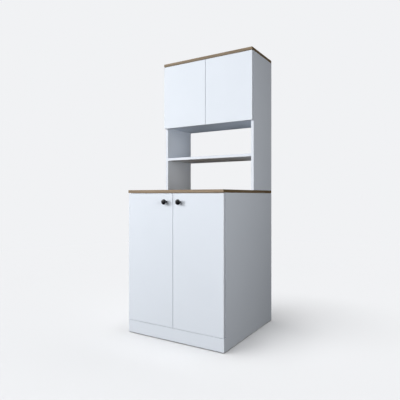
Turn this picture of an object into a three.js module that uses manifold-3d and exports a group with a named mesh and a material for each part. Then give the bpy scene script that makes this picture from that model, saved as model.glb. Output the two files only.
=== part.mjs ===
// A tall washing machine cabinet. The lower cabinet has two doors and room for the machine. On its worktop
// stands a shallow hutch with an open niche and a closed cupboard.
// Millimetres. X is the width, Y the depth with the fronts towards -Y, and Z is up. The origin is on the
// floor, under the middle of the overall box.

import * as THREE from "three";
import { mergeVertices } from "three/addons/utils/BufferGeometryUtils.js";
import Module from "manifold-3d";

// Overall sizes
const WIDTH = 700;
const LOWER_DEPTH = 650; // lower door faces to the back plane
const HUTCH_DEPTH = 300; // upper door faces to the back plane
const WORKTOP_HEIGHT = 900; // floor to the worktop's upper face
const NICHE_CLEAR = 450; // worktop to the cupboard floor
const CUPBOARD_CLEAR = 414; // cupboard floor to the top board

// Boards
const BOARD = 18; // white boards
const OAK_BOARD = 18; // worktop and top board
const WORKTOP_OVERHANG = 4; // past the lower door faces
const TOP_OVERHANG = 1; // past the upper door faces
const PLINTH_HEIGHT = 80; // floor to the plinth board's upper edge
const FRONT_RAIL_WIDTH = 80;
const BACK_RAIL_HEIGHT = 100;
const LOW_RAIL_HEIGHT = 80;
const NICHE_SHELF_RISE = 215; // worktop to the niche shelf's underside
const SEAT = 0.3; // joint line between two pieces that touch

// Cupboard back panel, held in a groove
const BACK_PANEL = 3;
const BACK_INSET = 10; // back plane to the panel
const GROOVE_DEPTH = 7;

// Loose cupboard shelf and its pins
const SHELF_RISE = 198; // cupboard floor to the shelf's underside
const SHELF_SETBACK = 20; // carcass edge to the shelf's front edge
const SHELF_END_GAP = 1;
const SHELF_BACK_GAP = 3;
const SHELF_PIN_INSET = 50; // shelf's front and back edges to the pins
const SHELF_PIN_RADIUS = 2.5;
const SHELF_PIN_SINK = 8;
const SHELF_STUB_RADIUS = 3.5;
const SHELF_STUB_LENGTH = 9;
const SHELF_HOLE_PITCH = 32;
const SHELF_HOLE_STEPS = [-1, 0, 1];

// Floor glides, nailed into the lower sides
const GLIDE_HEIGHT = 4;
const GLIDE_RADIUS = 8;
const GLIDE_CHAMFER = 1;
const GLIDE_INSET = 60; // side's front and back edges to the glides
const GLIDE_NAIL_RADIUS = 1.1;
const GLIDE_NAIL_LENGTH = 16;

// Plinth clips, in the corners behind the plinth board
const CLIP_LEG = 15;
const CLIP_THICKNESS = 2.5;
const CLIP_HEIGHT = 40;
const CLIP_RISE = 20; // floor to the clip's lower end

// Doors
const DOOR = 18; // thickness
const DOOR_GAP = 2; // carcass edge to the door's back
const REVEAL = 1; // side's outer face to the door's edge
const CENTRE_GAP = 3; // between a pair of doors
const DOOR_END_GAP = 3; // above and below a door
const FINGER_GRIP = 8; // how far the upper doors hang below the cupboard floor
const BUMPER_RADIUS = 4;
const BUMPER_TOP_RADIUS = 3;
const BUMPER_INSET = 30; // door's free edge to the bumper

// Knobs and their screws
const KNOB_PROJECTION = 25; // door's face to the knob's face
const KNOB_RADIUS = 16;
const KNOB_NECK_RADIUS = 6;
const KNOB_RIM = 4; // thickness of the knob's edge
const KNOB_CROWN = 2; // how far the knob's face bulges
const KNOB_CROWN_RADIUS = 12; // where the edge turns into the face
const KNOB_CROWN_SHARE = 0.75; // share of the bulge that is reached there
const KNOB_FREE_EDGE = 50; // door's free edge to the knob's axis
const KNOB_DROP = 51; // door's upper edge to the knob's axis
const KNOB_SCREW_RADIUS = 2;
const KNOB_SCREW_SINK = 10; // into the knob
const SCREW_HEAD_RADIUS = 4;
const SCREW_HEAD = 2.4;

// Concealed hinges: the cup in the door
const HINGE_FROM_END = 100; // door's upper and lower edges to the cup's axis
const CUP_RADIUS = 17.5;
const CUP_FROM_EDGE = 5; // door's outer edge to the cup
const CUP_DEPTH = 11.3;
const CUP_WALL = 1;
const FLANGE = 0.8; // thickness
const FLANGE_RIM = 1; // past the cup
const FLANGE_REACH = 26; // cup's axis to the upper and lower ends of the flange
const FLANGE_WIDTH = 13;
const FLANGE_OFFSET = 6; // cup's axis to the line of the flange's screws

// Concealed hinges: the pins and the link between them
const HINGE_PIN_RADIUS = 1.3;
const HINGE_PLAY = 0.3; // round the pins and beside the link
const ARM_PIN_AHEAD = 6.5; // carcass edge to the arm's pin
const CUP_PIN_INBOARD = 11; // door's outer edge to the cup's pin
const CUP_PIN_SINK = 3.5; // door's back to the cup's pin
const PIN_SPACING = 20; // inboard from the cup's pin to the arm's pin
const LINK_WIDTH = 10;
const LINK_THICKNESS = 2.6;
const LINK_EYE_RADIUS = 2.6;
const ELBOW_INBOARD = 6; // cup's pin to the link's bend
const ELBOW_SINK = 4;

// Concealed hinges: the arm on its mounting plate
const PLATE = 2;
const PLATE_START = 22; // carcass edge to the plate
const PLATE_HEIGHT = 16;
const WING_LINE = 37; // carcass edge to the plate's screws
const WING_WIDTH = 14;
const WING_REACH = 25; // hinge's middle to the ends of the plate
const ARM_UNDERCUT = 3; // side's inner face to the underside of the arm's nose
const ARM_RISE = 16; // side's inner face to the arm's back
const ARM_START = 14; // carcass edge to where the nose begins
const ARM_END = 60;
const ARM_CHEEK = 2; // thickness of the fork beside the link
const ARM_NOSE_RADIUS = 2.8;

// Making
const OVERRUN = 1; // how far a cutting body runs past the face it cuts
const ROUND = 20; // flats on cups and knobs
const SMALL_ROUND = 12; // flats on pins and screws
const CURVE_FLATS = 4; // flats on an arm's nose and a knob's neck

// Planes and heights that follow from the sizes above
const OUTER = WIDTH / 2;
const INNER = OUTER - BOARD;
const BACK = (LOWER_DEPTH + KNOB_PROJECTION) / 2;
const LOWER_FRONT = BACK - LOWER_DEPTH + DOOR + DOOR_GAP; // carcass edges of the lower cabinet
const HUTCH_FRONT = BACK - HUTCH_DEPTH + DOOR + DOOR_GAP; // carcass edges of the hutch
const FOOT = GLIDE_HEIGHT + SEAT;
const WORKTOP_UNDER = WORKTOP_HEIGHT - OAK_BOARD;
const NICHE_SHELF_UNDER = WORKTOP_HEIGHT + NICHE_SHELF_RISE;
const CUPBOARD_UNDER = WORKTOP_HEIGHT + NICHE_CLEAR;
const CUPBOARD_BOTTOM = CUPBOARD_UNDER + BOARD;
const TOP_UNDER = CUPBOARD_BOTTOM + CUPBOARD_CLEAR;
const PANEL_FACE = BACK - BACK_INSET - BACK_PANEL;
const HANDS = { left: -1, right: 1 };

const wasm = await Module();
wasm.setup();

// The solid inside a closed surface.
function solidOf(geometry) {
  const bare = geometry.clone();
  bare.deleteAttribute("normal");
  bare.deleteAttribute("uv");
  const merged = mergeVertices(bare);
  const mesh = new wasm.Mesh({
    numProp: 3,
    vertProperties: merged.attributes.position.array,
    triVerts: new Uint32Array(merged.index.array),
  });
  return new wasm.Manifold(mesh);
}

// The closed surface round a solid.
function geometryOf(solid) {
  const mesh = solid.getMesh();
  const geometry = new THREE.BufferGeometry();
  geometry.setAttribute("position", new THREE.BufferAttribute(mesh.vertProperties, 3));
  geometry.setIndex(new THREE.BufferAttribute(mesh.triVerts, 1));
  geometry.computeVertexNormals();
  return geometry;
}

function join(geometries) {
  const solids = geometries.map(solidOf);
  return geometryOf(solids.reduce((whole, piece) => whole.add(piece)));
}

function cut(blank, tools) {
  const solids = tools.map(solidOf);
  return geometryOf(solids.reduce((rest, tool) => rest.subtract(tool), solidOf(blank)));
}

// A box between two values on each axis.
function box([x0, x1], [y0, y1], [z0, z1]) {
  const geometry = new THREE.BoxGeometry(Math.abs(x1 - x0), y1 - y0, z1 - z0);
  return geometry.translate((x0 + x1) / 2, (y0 + y1) / 2, (z0 + z1) / 2);
}

// A cylinder along an axis, between two values on it and centred on the other two.
function cylinder(axis, radius, [from, to], centre, flats = SMALL_ROUND) {
  const geometry = new THREE.CylinderGeometry(radius, radius, to - from, flats);
  geometry.translate(0, (from + to) / 2, 0);
  if (axis === "x") geometry.rotateZ(-Math.PI / 2);
  if (axis === "z") geometry.rotateX(Math.PI / 2);
  return geometry.translate(...centre);
}

// A flat outline in X and Y, made as wide as given along Z and centred there.
function prism(outline, width) {
  const geometry = new THREE.ExtrudeGeometry(new THREE.Shape(outline), {
    depth: width,
    bevelEnabled: false,
  });
  return geometry.translate(0, 0, -width / 2);
}

// A profile of [radius, height] pairs turned about Y.
function turned(profile, flats = SMALL_ROUND) {
  return new THREE.LatheGeometry(
    profile.map(([radius, height]) => new THREE.Vector2(radius, height)),
    flats,
  );
}

const PAINTS = {
  white: { color: 0xe4e8ee, roughness: 0.45, metalness: 0 },
  oak: { color: 0xae9d8a, roughness: 0.6, metalness: 0 },
  backing: { color: 0xe6e4df, roughness: 0.7, metalness: 0 },
  black: { color: 0x17181b, roughness: 0.4, metalness: 0 },
  steel: { color: 0xb8b7b2, roughness: 0.35, metalness: 1 },
  plastic: { color: 0x3c3c3e, roughness: 0.6, metalness: 0 },
  clear: { color: 0xd9dadb, roughness: 0.3, metalness: 0 },
};

// A named piece with a material of its own, put into a group.
function add(group, name, paint, geometry, place = [0, 0, 0]) {
  const material = new THREE.MeshStandardMaterial({ ...PAINTS[paint], flatShading: true });
  const mesh = new THREE.Mesh(geometry, material);
  mesh.name = name;
  mesh.position.set(...place);
  group.add(mesh);
}

// A board between two values on each axis, with any grooves and holes cut from it.
function addBoard(group, name, paint, x, y, z, tools = []) {
  const blank = box(x, y, z);
  const geometry = tools.length ? cut(blank, tools) : blank;
  const middle = [x, y, z].map(([from, to]) => (from + to) / 2);
  geometry.translate(...middle.map((value) => -value));
  add(group, name, paint, geometry, middle);
}

// Lower cabinet
const cabinet = new THREE.Group();
const lower = new THREE.Group();
cabinet.add(lower);

const BETWEEN_SIDES = [-INNER + SEAT, INNER - SEAT];
const GLIDE_PLACES = { front: LOWER_FRONT + GLIDE_INSET, back: BACK - GLIDE_INSET };

for (const [hand, side] of Object.entries(HANDS)) {
  const middle = side * (OUTER - BOARD / 2);
  const nailTop = FOOT + GLIDE_NAIL_LENGTH + SEAT;
  const nailHoles = Object.values(GLIDE_PLACES).map((y) =>
    cylinder("z", GLIDE_NAIL_RADIUS + SEAT, [FOOT - OVERRUN, nailTop], [middle, y, 0]),
  );
  addBoard(
    lower,
    `lower_side_${hand}`,
    "white",
    [side * INNER, side * OUTER],
    [LOWER_FRONT, BACK],
    [FOOT, WORKTOP_UNDER - SEAT],
    nailHoles,
  );
  for (const [end, y] of Object.entries(GLIDE_PLACES)) {
    const glide = turned([
      [0, 0],
      [GLIDE_RADIUS - GLIDE_CHAMFER, 0],
      [GLIDE_RADIUS, GLIDE_CHAMFER],
      [GLIDE_RADIUS, GLIDE_HEIGHT],
      [GLIDE_NAIL_RADIUS, GLIDE_HEIGHT],
      [GLIDE_NAIL_RADIUS, FOOT + GLIDE_NAIL_LENGTH],
      [0, FOOT + GLIDE_NAIL_LENGTH],
    ]);
    add(lower, `floor_glide_${end}_${hand}`, "plastic", glide.rotateX(Math.PI / 2), [middle, y, 0]);
  }
}

addBoard(
  lower,
  "worktop",
  "oak",
  [-OUTER, OUTER],
  [BACK - LOWER_DEPTH - WORKTOP_OVERHANG, BACK],
  [WORKTOP_UNDER, WORKTOP_HEIGHT],
);
addBoard(
  lower,
  "plinth_board",
  "white",
  [-OUTER, OUTER],
  [LOWER_FRONT - SEAT - BOARD, LOWER_FRONT - SEAT],
  [FOOT, PLINTH_HEIGHT],
);
addBoard(
  lower,
  "front_rail",
  "white",
  BETWEEN_SIDES,
  [LOWER_FRONT, LOWER_FRONT + FRONT_RAIL_WIDTH],
  [WORKTOP_UNDER - SEAT - BOARD, WORKTOP_UNDER - SEAT],
);
addBoard(
  lower,
  "back_rail_upper",
  "white",
  BETWEEN_SIDES,
  [BACK - BOARD, BACK],
  [WORKTOP_UNDER - SEAT - BACK_RAIL_HEIGHT, WORKTOP_UNDER - SEAT],
);
addBoard(
  lower,
  "back_rail_lower",
  "white",
  BETWEEN_SIDES,
  [BACK - BOARD, BACK],
  [FOOT, FOOT + LOW_RAIL_HEIGHT],
);

// Each plinth clip is an angle with one leg on the side and one on the plinth board.
for (const [hand, side] of Object.entries(HANDS)) {
  const legs = [
    box([0, -side * CLIP_THICKNESS], [0, CLIP_LEG], [0, CLIP_HEIGHT]),
    box([0, -side * CLIP_LEG], [0, CLIP_THICKNESS], [0, CLIP_HEIGHT]),
  ];
  const place = [side * (INNER - SEAT), LOWER_FRONT, CLIP_RISE];
  add(lower, `plinth_clip_${hand}`, "plastic", join(legs), place);
}

// Hutch
const hutch = new THREE.Group();
cabinet.add(hutch);

const PANEL_HALF_WIDTH = INNER + GROOVE_DEPTH - SEAT;
const PANEL_LOW = CUPBOARD_BOTTOM - GROOVE_DEPTH + SEAT;
const PANEL_HIGH = TOP_UNDER + GROOVE_DEPTH - SEAT;
const GROOVE = [PANEL_FACE - SEAT, PANEL_FACE + BACK_PANEL + SEAT];
const SHELF_UNDER = CUPBOARD_BOTTOM + SHELF_RISE;
const SHELF_SPAN = [HUTCH_FRONT + SHELF_SETBACK, PANEL_FACE - SHELF_BACK_GAP];
const SHELF_PIN_HEIGHT = SHELF_UNDER - SEAT - SHELF_STUB_RADIUS;
const SHELF_PIN_PLACES = {
  front: SHELF_SPAN[0] + SHELF_PIN_INSET,
  back: SHELF_SPAN[1] - SHELF_PIN_INSET,
};

for (const [hand, side] of Object.entries(HANDS)) {
  const sideTop = TOP_UNDER - SEAT;
  const groove = box(
    [side * (INNER - OVERRUN), side * (INNER + GROOVE_DEPTH)],
    GROOVE,
    [PANEL_LOW - SEAT, sideTop + OVERRUN],
  );
  const holeEnds = [side * (INNER - OVERRUN), side * (INNER + SHELF_PIN_SINK + SEAT)];
  const holeSpan = holeEnds.sort((a, b) => a - b);
  const pinHoles = Object.values(SHELF_PIN_PLACES).flatMap((y) =>
    SHELF_HOLE_STEPS.map((step) => {
      const height = SHELF_PIN_HEIGHT + step * SHELF_HOLE_PITCH;
      return cylinder("x", SHELF_PIN_RADIUS + SEAT, holeSpan, [0, y, height]);
    }),
  );
  addBoard(
    hutch,
    `hutch_side_${hand}`,
    "white",
    [side * INNER, side * OUTER],
    [HUTCH_FRONT, BACK],
    [WORKTOP_HEIGHT + SEAT, sideTop],
    [groove, ...pinHoles],
  );
  for (const [end, y] of Object.entries(SHELF_PIN_PLACES)) {
    const pin = turned([
      [0, -SHELF_PIN_SINK],
      [SHELF_PIN_RADIUS, -SHELF_PIN_SINK],
      [SHELF_PIN_RADIUS, SEAT],
      [SHELF_STUB_RADIUS, SEAT],
      [SHELF_STUB_RADIUS, SHELF_STUB_LENGTH],
      [0, SHELF_STUB_LENGTH],
    ]);
    const place = [side * INNER, y, SHELF_PIN_HEIGHT];
    add(hutch, `shelf_pin_${end}_${hand}`, "steel", pin.rotateZ((side * Math.PI) / 2), place);
  }
}

addBoard(
  hutch,
  "hutch_top",
  "oak",
  [-OUTER, OUTER],
  [BACK - HUTCH_DEPTH - TOP_OVERHANG, BACK],
  [TOP_UNDER, TOP_UNDER + OAK_BOARD],
  [
    box(
      [-PANEL_HALF_WIDTH - SEAT, PANEL_HALF_WIDTH + SEAT],
      GROOVE,
      [TOP_UNDER - OVERRUN, TOP_UNDER + GROOVE_DEPTH],
    ),
  ],
);
addBoard(
  hutch,
  "cupboard_floor",
  "white",
  BETWEEN_SIDES,
  [HUTCH_FRONT, BACK],
  [CUPBOARD_UNDER, CUPBOARD_BOTTOM],
  [
    box(
      [-INNER, INNER],
      GROOVE,
      [CUPBOARD_BOTTOM - GROOVE_DEPTH, CUPBOARD_BOTTOM + OVERRUN],
    ),
  ],
);
addBoard(
  hutch,
  "cupboard_back",
  "backing",
  [-PANEL_HALF_WIDTH, PANEL_HALF_WIDTH],
  [PANEL_FACE, PANEL_FACE + BACK_PANEL],
  [PANEL_LOW, PANEL_HIGH],
);
addBoard(
  hutch,
  "cupboard_shelf",
  "white",
  [-INNER + SHELF_END_GAP, INNER - SHELF_END_GAP],
  SHELF_SPAN,
  [SHELF_UNDER, SHELF_UNDER + BOARD],
);
addBoard(
  hutch,
  "niche_shelf",
  "white",
  BETWEEN_SIDES,
  [HUTCH_FRONT, BACK],
  [NICHE_SHELF_UNDER, NICHE_SHELF_UNDER + BOARD],
);

// Hinge pieces. Distances inboard run towards -X on the right-hand side and +X on the left.
const CUP_AXIS = CUP_FROM_EDGE + CUP_RADIUS;
const EDGE_OUTBOARD = BOARD - REVEAL; // side's inner face out to the door's edge
const CUP_PIN = [CUP_PIN_INBOARD - EDGE_OUTBOARD, -DOOR_GAP - CUP_PIN_SINK];
const ARM_PIN = [CUP_PIN[0] + PIN_SPACING, -ARM_PIN_AHEAD];
const ELBOW = [CUP_PIN[0] + ELBOW_INBOARD, CUP_PIN[1] - ELBOW_SINK];
const ARM_WIDTH = LINK_WIDTH + 2 * (HINGE_PLAY + ARM_CHEEK);

// Points given as [inboard, depth] for a hinge on the given side.
function handed(side, points) {
  return points.map(([inboard, depth]) => new THREE.Vector2(-side * inboard, depth));
}

function pinAt(side, [inboard, depth], radius, width) {
  return cylinder("z", radius, [-width / 2, width / 2], [-side * inboard, depth, 0]);
}

// The outline of a flat strap of the given half thickness round three points.
function strapOutline([start, bend, end], half) {
  const first = bend.clone().sub(start).normalize();
  const second = end.clone().sub(bend).normalize();
  const across = (way) => new THREE.Vector2(-way.y, way.x).multiplyScalar(half);
  const mitre = across(first).add(across(second));
  mitre.multiplyScalar((half * half) / mitre.dot(across(first)));
  const reach = [across(first), mitre, across(second)];
  const points = [start, bend, end];
  const near = points.map((point, i) => point.clone().add(reach[i]));
  const far = points.map((point, i) => point.clone().sub(reach[i]));
  return [...near, ...far.reverse()];
}

function hingeLink(side) {
  const strap = strapOutline(handed(side, [ARM_PIN, ELBOW, CUP_PIN]), LINK_THICKNESS / 2);
  const blank = join([
    prism(strap, LINK_WIDTH),
    pinAt(side, ARM_PIN, LINK_EYE_RADIUS, LINK_WIDTH),
    pinAt(side, CUP_PIN, LINK_EYE_RADIUS, LINK_WIDTH),
  ]);
  const bores = [ARM_PIN, CUP_PIN].map((pin) =>
    pinAt(side, pin, HINGE_PIN_RADIUS + HINGE_PLAY, LINK_WIDTH + 2 * OVERRUN),
  );
  return cut(blank, bores);
}

function hingeArm(side) {
  const nose = [];
  for (let i = 0; i <= CURVE_FLATS; i++) {
    const turn = Math.PI + (i * Math.PI) / CURVE_FLATS;
    nose.push([
      ARM_PIN[0] + ARM_NOSE_RADIUS * Math.cos(turn),
      ARM_PIN[1] + ARM_NOSE_RADIUS * Math.sin(turn),
    ]);
  }
  const outline = [
    [SEAT, ARM_END],
    [SEAT, PLATE_START],
    [ARM_UNDERCUT, PLATE_START],
    [ARM_UNDERCUT, ARM_START],
    ...nose,
    [ARM_RISE, ARM_START],
    [ARM_RISE, ARM_END],
  ];
  const plateFaces = [-side * SEAT, -side * (SEAT + PLATE)];
  const blank = join([
    prism(handed(side, outline), ARM_WIDTH),
    box(plateFaces, [PLATE_START, ARM_END], [-PLATE_HEIGHT / 2, PLATE_HEIGHT / 2]),
    box(
      plateFaces,
      [WING_LINE - WING_WIDTH / 2, WING_LINE + WING_WIDTH / 2],
      [-WING_REACH, WING_REACH],
    ),
  ]);
  const forkBottom = ARM_PIN[1] + LINK_EYE_RADIUS + HINGE_PLAY;
  const forkWidth = LINK_WIDTH / 2 + HINGE_PLAY;
  const fork = box(
    [0, -side * (ARM_RISE + ARM_NOSE_RADIUS)],
    [ARM_PIN[1] - ARM_NOSE_RADIUS - OVERRUN, forkBottom],
    [-forkWidth, forkWidth],
  );
  return join([cut(blank, [fork]), pinAt(side, ARM_PIN, HINGE_PIN_RADIUS, ARM_WIDTH)]);
}

// The cup's own frame lies on its axis, at the door's back.
function hingeCup(side) {
  const bottom = SEAT - CUP_DEPTH;
  const flangeTop = SEAT + FLANGE;
  const screwLine = -side * FLANGE_OFFSET;
  const blank = join([
    cylinder("y", CUP_RADIUS, [bottom, flangeTop], [0, 0, 0], ROUND),
    cylinder("y", CUP_RADIUS + FLANGE_RIM, [SEAT, flangeTop], [0, 0, 0], ROUND),
    box(
      [screwLine - FLANGE_WIDTH / 2, screwLine + FLANGE_WIDTH / 2],
      [SEAT, flangeTop],
      [-FLANGE_REACH, FLANGE_REACH],
    ),
  ]);
  const hollow = cylinder(
    "y",
    CUP_RADIUS - CUP_WALL,
    [bottom + CUP_WALL, flangeTop + OVERRUN],
    [0, 0, 0],
    ROUND,
  );
  const pinFromAxis = CUP_AXIS - CUP_PIN_INBOARD;
  const wallMiddle = CUP_RADIUS - CUP_WALL / 2;
  const pinLength = 2 * Math.sqrt(wallMiddle ** 2 - (pinFromAxis + HINGE_PIN_RADIUS) ** 2);
  const pin = pinAt(side, [-pinFromAxis, -CUP_PIN_SINK], HINGE_PIN_RADIUS, pinLength);
  return join([cut(blank, [hollow]), pin]);
}

// The knob's frame lies on its axis, at the door's face, and the knob stands towards -Y.
function knob() {
  const height = KNOB_PROJECTION - SEAT;
  const rimTop = height - KNOB_CROWN;
  const rimBottom = rimTop - KNOB_RIM;
  const neck = new THREE.QuadraticBezierCurve(
    new THREE.Vector2(KNOB_NECK_RADIUS, 0),
    new THREE.Vector2(KNOB_NECK_RADIUS, rimBottom / 2),
    new THREE.Vector2(KNOB_RADIUS, rimBottom),
  );
  const profile = [
    [0, 0],
    ...neck.getPoints(CURVE_FLATS).map((point) => point.toArray()),
    [KNOB_RADIUS, rimTop],
    [KNOB_CROWN_RADIUS, rimTop + KNOB_CROWN * KNOB_CROWN_SHARE],
    [0, height],
  ];
  const body = turned(profile, ROUND).rotateX(Math.PI).translate(0, -SEAT, 0);
  const bore = cylinder(
    "y",
    KNOB_SCREW_RADIUS + SEAT,
    [-KNOB_SCREW_SINK - SEAT, OVERRUN],
    [0, 0, 0],
  );
  return cut(body, [bore]);
}

// The screw's frame lies on its axis, at the door's back. Its shank runs through the door into the knob.
function knobScrew() {
  return turned([
    [0, -DOOR - KNOB_SCREW_SINK],
    [KNOB_SCREW_RADIUS, -DOOR - KNOB_SCREW_SINK],
    [KNOB_SCREW_RADIUS, SEAT],
    [SCREW_HEAD_RADIUS, SEAT],
    [SCREW_HEAD_RADIUS, SEAT + SCREW_HEAD],
    [0, SEAT + SCREW_HEAD],
  ]);
}

function bumper() {
  const thickness = DOOR_GAP - 2 * SEAT;
  const geometry = new THREE.CylinderGeometry(
    BUMPER_TOP_RADIUS,
    BUMPER_RADIUS,
    thickness,
    SMALL_ROUND,
  );
  return geometry.translate(0, DOOR_GAP / 2, 0);
}

// A door with its hinges. The door's own frame lies at its outer edge, its back and its lower edge.
// The bumper's height is measured from there too, and a door with a knob gets one near its upper edge.
function addDoor(row, hand, side, front, low, high, bumperHeight, hasKnob) {
  const width = OUTER - REVEAL - CENTRE_GAP / 2;
  const height = high - low;
  const leaf = new THREE.Group();
  leaf.position.set(side * (OUTER - REVEAL), front - DOOR_GAP, low);
  cabinet.add(leaf);

  const hingeHeights = { bottom: HINGE_FROM_END, top: height - HINGE_FROM_END };
  const cupX = -side * CUP_AXIS;
  const tools = Object.values(hingeHeights).map((z) =>
    cylinder("y", CUP_RADIUS + SEAT, [-CUP_DEPTH, OVERRUN], [cupX, 0, z], ROUND),
  );
  const knobX = -side * (width - KNOB_FREE_EDGE);
  const knobZ = height - KNOB_DROP;
  if (hasKnob) {
    const through = [-DOOR - OVERRUN, OVERRUN];
    tools.push(cylinder("y", KNOB_SCREW_RADIUS + SEAT, through, [knobX, 0, knobZ]));
    add(leaf, `knob_${hand}`, "black", knob(), [knobX, -DOOR, knobZ]);
    add(leaf, `knob_screw_${hand}`, "steel", knobScrew(), [knobX, 0, knobZ]);
  }
  addBoard(leaf, `${row}_door_${hand}`, "white", [0, -side * width], [-DOOR, 0], [0, height], tools);
  const bumperPlace = [-side * (width - BUMPER_INSET), 0, bumperHeight];
  add(leaf, `${row}_bumper_${hand}`, "clear", bumper(), bumperPlace);

  for (const [end, z] of Object.entries(hingeHeights)) {
    const label = `${row}_${hand}_${end}`;
    const hinge = new THREE.Group();
    hinge.position.set(side * INNER, front, low + z);
    cabinet.add(hinge);
    add(hinge, `hinge_arm_${label}`, "steel", hingeArm(side));
    add(hinge, `hinge_link_${label}`, "steel", hingeLink(side));
    add(leaf, `hinge_cup_${label}`, "steel", hingeCup(side), [cupX, 0, z]);
  }
}

const LOWER_DOOR = [PLINTH_HEIGHT + DOOR_END_GAP, WORKTOP_UNDER - DOOR_END_GAP];
const UPPER_DOOR = [CUPBOARD_UNDER - FINGER_GRIP, TOP_UNDER - DOOR_END_GAP];
const LOWER_BUMPER = WORKTOP_UNDER - SEAT - BOARD / 2 - LOWER_DOOR[0]; // against the front rail
const UPPER_BUMPER = CUPBOARD_UNDER + BOARD / 2 - UPPER_DOOR[0]; // against the cupboard floor

for (const [hand, side] of Object.entries(HANDS)) {
  addDoor("lower", hand, side, LOWER_FRONT, ...LOWER_DOOR, LOWER_BUMPER, true);
  addDoor("upper", hand, side, HUTCH_FRONT, ...UPPER_DOOR, UPPER_BUMPER, false);
}

export default cabinet;
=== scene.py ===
# %% [markdown]
# # A tall cabinet over a washing machine, from frame to finish
# A real cabinet like this is a kit of coated boards, hinges, knobs and small fittings. The CAD
# model gives each of them its size and place, and this lesson gives them edges, surfaces and light.
# Everything could be modelled again from nothing, but then nothing would be sure to fit. So the
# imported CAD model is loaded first, as a frame that stays where it is.

# %% Load the frame
import math

import bmesh
import bpy
from mathutils import Matrix, Vector


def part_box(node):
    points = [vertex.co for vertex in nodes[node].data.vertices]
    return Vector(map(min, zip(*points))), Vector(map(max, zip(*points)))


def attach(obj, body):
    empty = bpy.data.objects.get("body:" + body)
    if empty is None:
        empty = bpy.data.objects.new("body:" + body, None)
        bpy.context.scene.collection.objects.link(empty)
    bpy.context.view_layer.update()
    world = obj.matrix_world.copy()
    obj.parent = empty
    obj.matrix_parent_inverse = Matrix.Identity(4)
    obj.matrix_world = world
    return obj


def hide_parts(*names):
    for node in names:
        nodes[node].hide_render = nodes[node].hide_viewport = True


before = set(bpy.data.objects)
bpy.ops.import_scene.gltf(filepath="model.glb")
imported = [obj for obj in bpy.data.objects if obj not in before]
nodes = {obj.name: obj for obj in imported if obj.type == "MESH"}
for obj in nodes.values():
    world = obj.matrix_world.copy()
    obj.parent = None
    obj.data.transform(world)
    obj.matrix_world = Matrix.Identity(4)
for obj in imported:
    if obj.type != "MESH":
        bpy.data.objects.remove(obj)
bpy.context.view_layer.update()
scene = bpy.context.scene
MM = 0.001

# %% [markdown]
# ## The camera
# The photograph looks at the cabinet's front and right side from about half its height, and all
# upright edges stay upright. Tilting the camera would make them lean, so it is held level, and the
# lens is shifted instead, as an architectural photographer does.

# %% Place the camera
IMAGE_SIDE = 400
SENSOR_WIDTH = 36
FOCAL_PIXELS = 384.21
CAMERA_PLACE = (1.41413, -2.1219, 0.86548)
CAMERA_TURN = 29.161
CAMERA_SHIFT_PIXELS = (-32.59, -4.39)

camera_data = bpy.data.cameras.new("camera")
camera = bpy.data.objects.new("camera", camera_data)
scene.collection.objects.link(camera)
camera.location = CAMERA_PLACE
camera.rotation_euler = (math.radians(90), 0, math.radians(CAMERA_TURN))
camera_data.sensor_width = SENSOR_WIDTH
camera_data.lens = FOCAL_PIXELS / IMAGE_SIDE * SENSOR_WIDTH
camera_data.shift_x = CAMERA_SHIFT_PIXELS[0] / IMAGE_SIDE
camera_data.shift_y = CAMERA_SHIFT_PIXELS[1] / IMAGE_SIDE
scene.camera = camera
scene.view_settings.view_transform = "Standard"
print("The lens is", round(camera_data.lens, 2), "mm")

# %% [markdown]
# ## Small helpers for materials
# Every finish of the cabinet is a Principled shader with a few pattern nodes in front of it. A node
# could be made, set and joined in three steps each time. One helper does all three: each input that
# it is told of gets a fixed value, or a link from a node made before. A few more helpers stand for
# the nodes that come up most. Colours are written as linear values.


# %% Helpers for nodes
def feed(tree, socket, value):
    """Gives an input a link from another node's output, or a fixed value."""
    if isinstance(value, bpy.types.NodeSocket):
        tree.links.new(value, socket)
    elif socket.type == "RGBA":
        socket.default_value = (*value, 1)
    else:
        socket.default_value = value


def place_node(tree, kind, inputs=None, **settings):
    """A new node with its settings and with what its inputs are fed."""
    node = tree.nodes.new(kind)
    for name, value in settings.items():
        setattr(node, name, value)
    for name, value in (inputs or {}).items():
        feed(tree, node.inputs[name], value)
    return node


def blend_colors(tree, mask, first, second):
    """A colour that goes from the first to the second as the mask rises."""
    ends = {"Factor": mask, 6: first, 7: second}
    return place_node(tree, "ShaderNodeMix", ends, data_type="RGBA").outputs[2]


def blend_shaders(tree, mask, first, second):
    """A shader that goes from the first node's to the second's as the mask rises."""
    ends = {"Fac": mask, 1: first.outputs[0], 2: second.outputs[0]}
    return place_node(tree, "ShaderNodeMixShader", ends).outputs["Shader"]


def stretch_value(tree, value, low, high):
    """A 0 to 1 value spread between a low and a high value."""
    ends = {"Value": value, "To Min": low, "To Max": high}
    return place_node(tree, "ShaderNodeMapRange", ends).outputs["Result"]


def narrow_value(tree, value, low, high, rise="LINEAR"):
    """A value that is 0 up to a low one, 1 from a high one, and rises between them."""
    ends = {"Value": value, "From Min": low, "From Max": high}
    return place_node(tree, "ShaderNodeMapRange", ends, interpolation_type=rise).outputs["Result"]


def work_out(tree, operation, *terms):
    """The result of a sum on terms that are each an output or a number."""
    terms = dict(enumerate(terms))
    return place_node(tree, "ShaderNodeMath", terms, operation=operation).outputs["Value"]


def work_out_vector(tree, operation, *terms):
    """The outputs Vector and Value of a sum on vectors."""
    terms = dict(enumerate(terms))
    return place_node(tree, "ShaderNodeVectorMath", terms, operation=operation).outputs


def add_noise(tree, place, **inputs):
    """The 0 to 1 value of a noise at a place."""
    return place_node(tree, "ShaderNodeTexNoise", {"Vector": place, **inputs}).outputs["Fac"]


print("Made the helpers that place and join nodes")

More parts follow.
